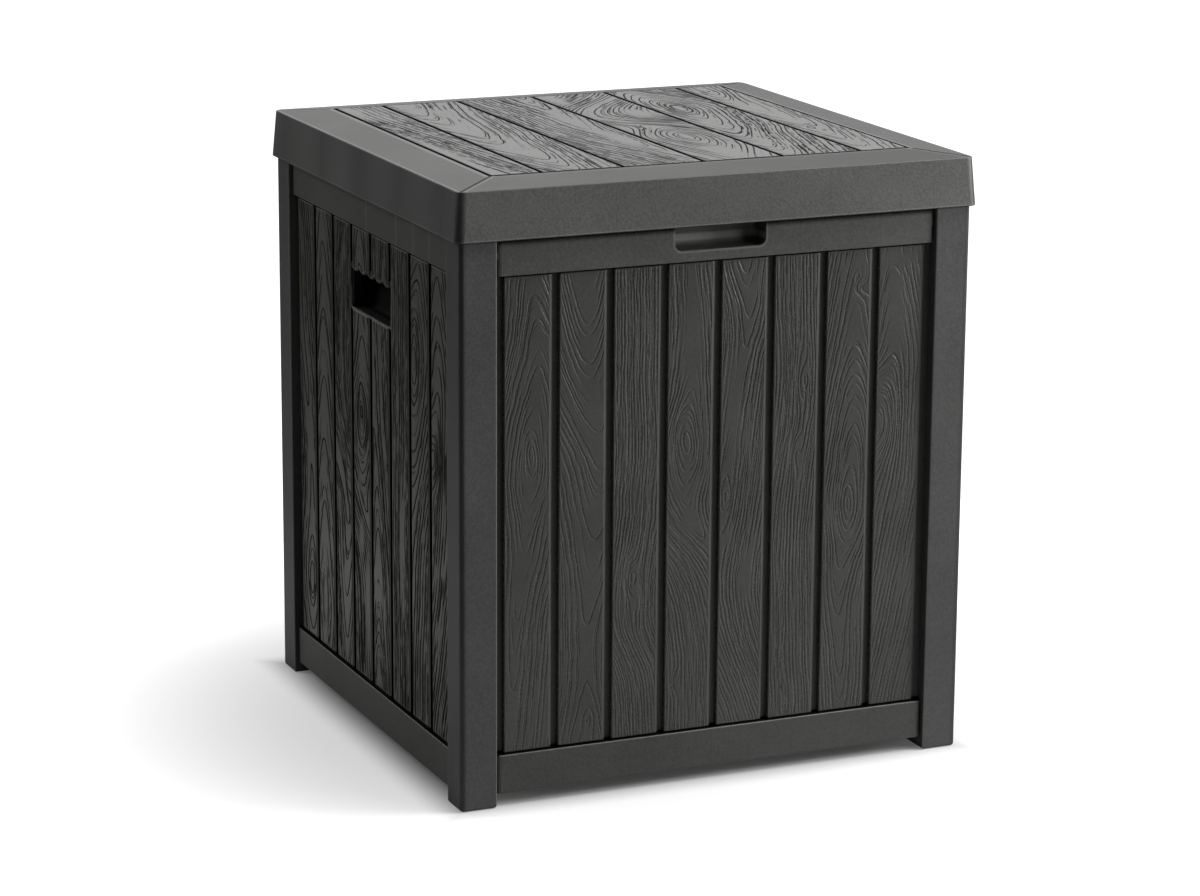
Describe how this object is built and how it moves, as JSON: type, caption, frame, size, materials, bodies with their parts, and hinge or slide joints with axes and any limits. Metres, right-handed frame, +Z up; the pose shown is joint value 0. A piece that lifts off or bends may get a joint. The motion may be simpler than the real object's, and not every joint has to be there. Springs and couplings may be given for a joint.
{
  "type": "garden storage chest",
  "caption": "Square upright outdoor storage chest with plank-textured moulded walls, corner posts on feet, a finger recess, side hand grips and a hinged plank-topped lid.",
  "frame": {"origin": "on the ground, under the middle of the closed lid's outline", "axes": "+Z up, -Y towards the front with the finger recess, +Y towards the hinges, +X to the right seen from the front"},
  "size_m": [0.5668, 0.5518, 0.63],
  "materials": {
    "post_resin": "fine satin grain, charcoal grey moulded resin",
    "panel_resin": "embossed wood grain, charcoal grey moulded resin",
    "lid_resin": "embossed wood grain on a satin charcoal grey moulded resin",
    "inner_resin": "smooth charcoal grey moulded resin",
    "hinge_resin": "smooth black moulded resin",
    "pin_steel": "plain drawn steel",
    "screw_steel": "zinc plated steel"
  },
  "bodies": {
    "chest": {"corner_post_front_left": "post_resin", "corner_post_front_right": "post_resin", "corner_post_rear_left": "post_resin", "corner_post_rear_right": "post_resin", "front_panel": "panel_resin", "rear_panel": "panel_resin", "left_panel": "panel_resin", "right_panel": "panel_resin", "grip_cup_left": "inner_resin", "grip_cup_right": "inner_resin", "floor_panel": "inner_resin", "hinge_bracket_left": "hinge_resin", "hinge_bracket_right": "hinge_resin", "hinge_pin_left": "pin_steel", "hinge_pin_right": "pin_steel", "hinge_bracket_screws": "screw_steel"},
    "lid": {"lid_cover": "lid_resin", "lid_liner": "inner_resin", "lid_liner_screws": "screw_steel", "hinge_leaf_left": "hinge_resin", "hinge_leaf_right": "hinge_resin", "hinge_leaf_screws": "screw_steel"}
  },
  "joints": [
    {"name": "lid_hinge", "type": "hinge", "parent": "chest", "child": "lid", "pos_m": [0, 0.2703, 0.57], "axis": [-1, 0, 0], "range_deg": [0, 100]}
  ]
}
